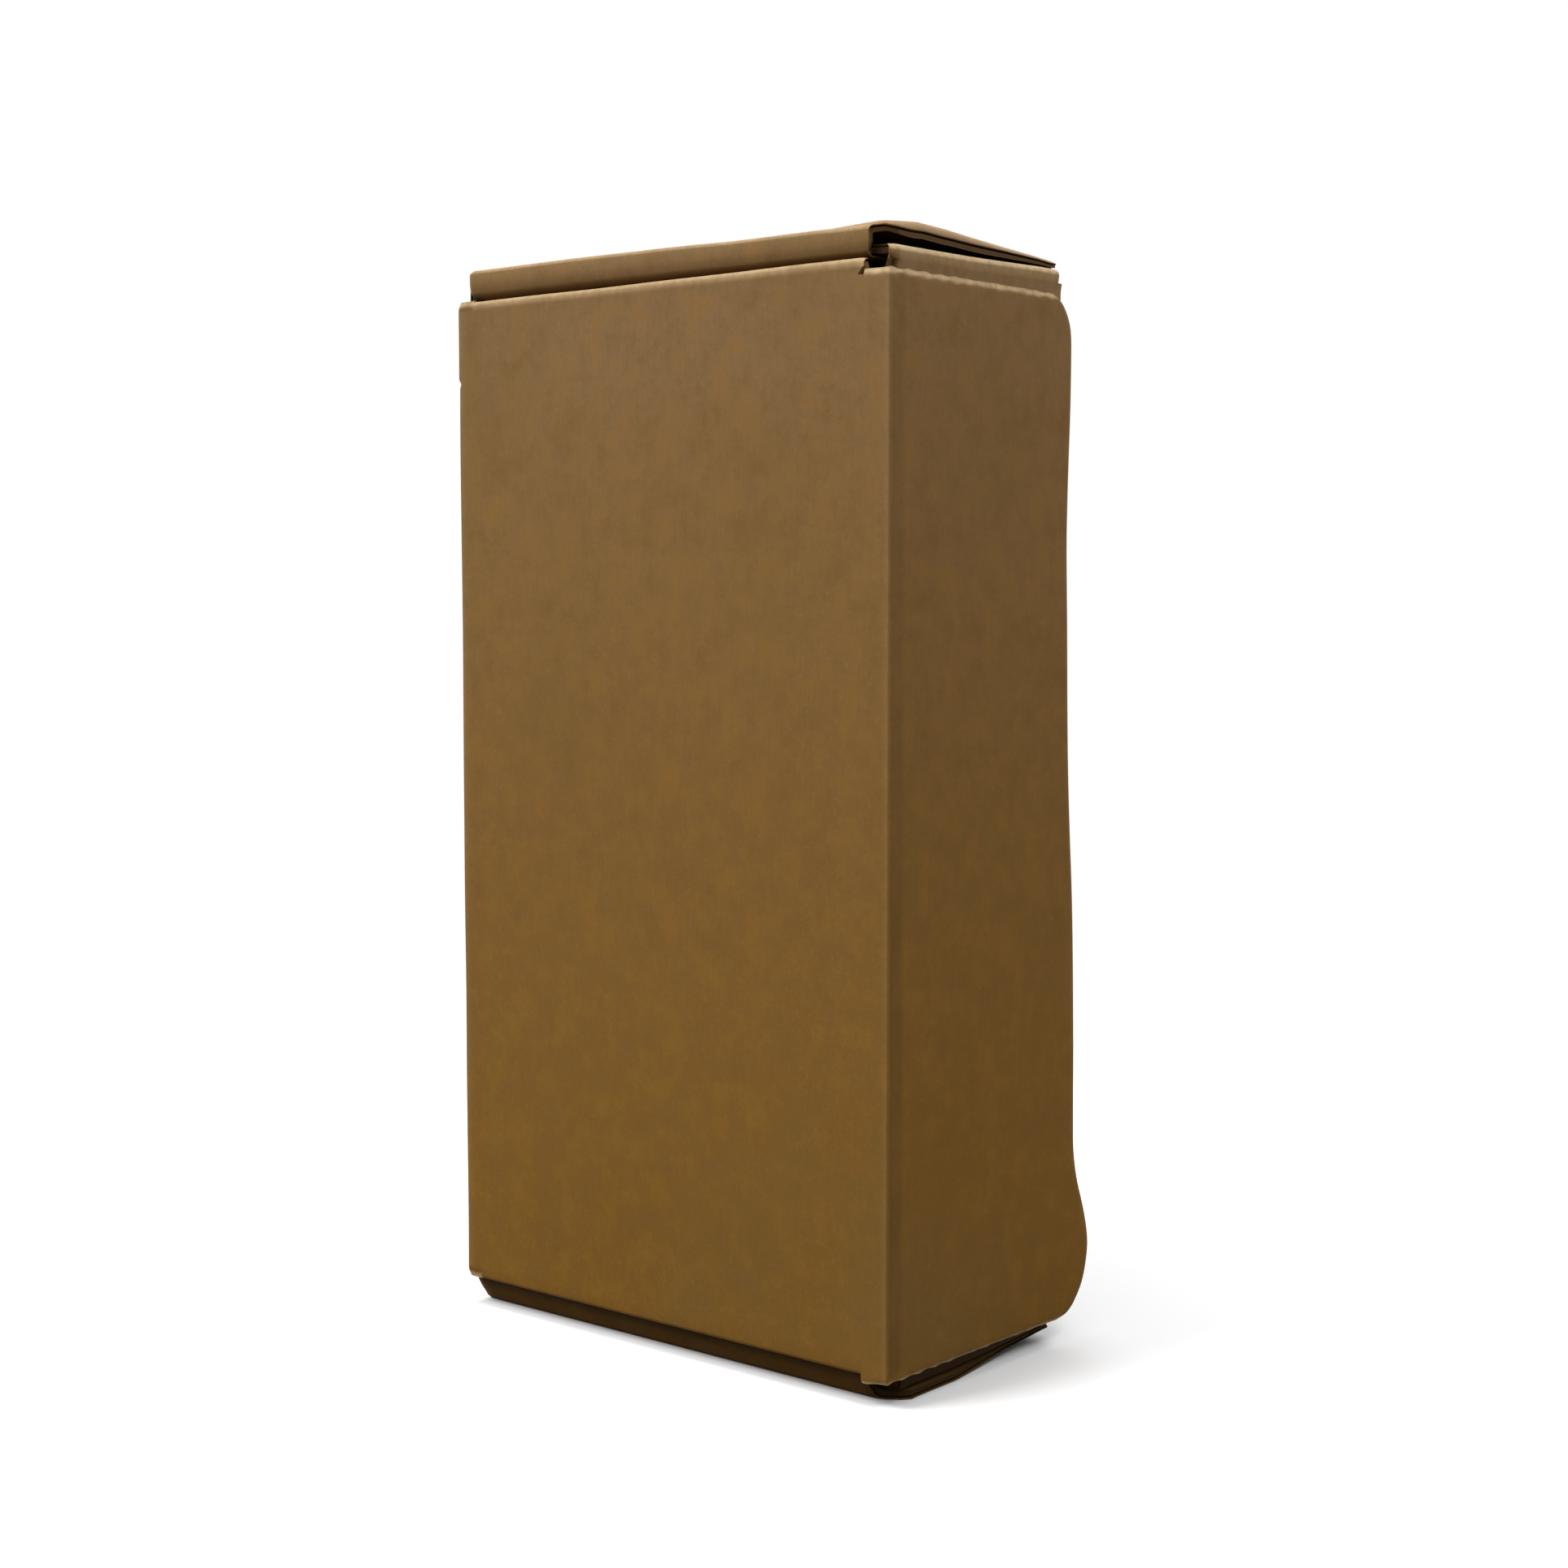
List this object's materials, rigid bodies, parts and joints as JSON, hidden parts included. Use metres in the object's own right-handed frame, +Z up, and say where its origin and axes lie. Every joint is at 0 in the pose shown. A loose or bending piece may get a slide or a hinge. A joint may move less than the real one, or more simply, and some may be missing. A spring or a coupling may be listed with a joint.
{
  "type": "closed corrugated mailer box",
  "caption": "Closed corrugated cardboard mailer box standing on end, rolled double end walls, tuck flap folded down outside its front wall.",
  "frame": {"origin": "on the outer face of the bottom end wall, which the box stands on, midway between the lid's face and the base panel's and midway across the lid", "axes": "+Z up along the long side; the lid faces -Y, the base panel is at +Y, the tuck flap is at +X and the lid's hinge wall at -X"},
  "size_m": [0.165, 0.0983, 0.3176],
  "materials": {
    "kraft_board": "matte"
  },
  "bodies": {
    "tray": {"tray": "kraft_board"},
    "lid": {"lid": "kraft_board"},
    "tuck_flap": {"tuck_flap": "kraft_board"}
  },
  "joints": [
    {"name": "lid_hinge", "type": "hinge", "parent": "tray", "child": "lid", "pos_m": [-0.08, -0.04, 0.158], "axis": [0, 0, -1], "range_deg": [0, 180]},
    {"name": "flap_hinge", "type": "hinge", "parent": "lid", "child": "tuck_flap", "pos_m": [0.08, -0.04, 0.158], "axis": [0, 0, -1], "range_deg": [0, 90]}
  ]
}
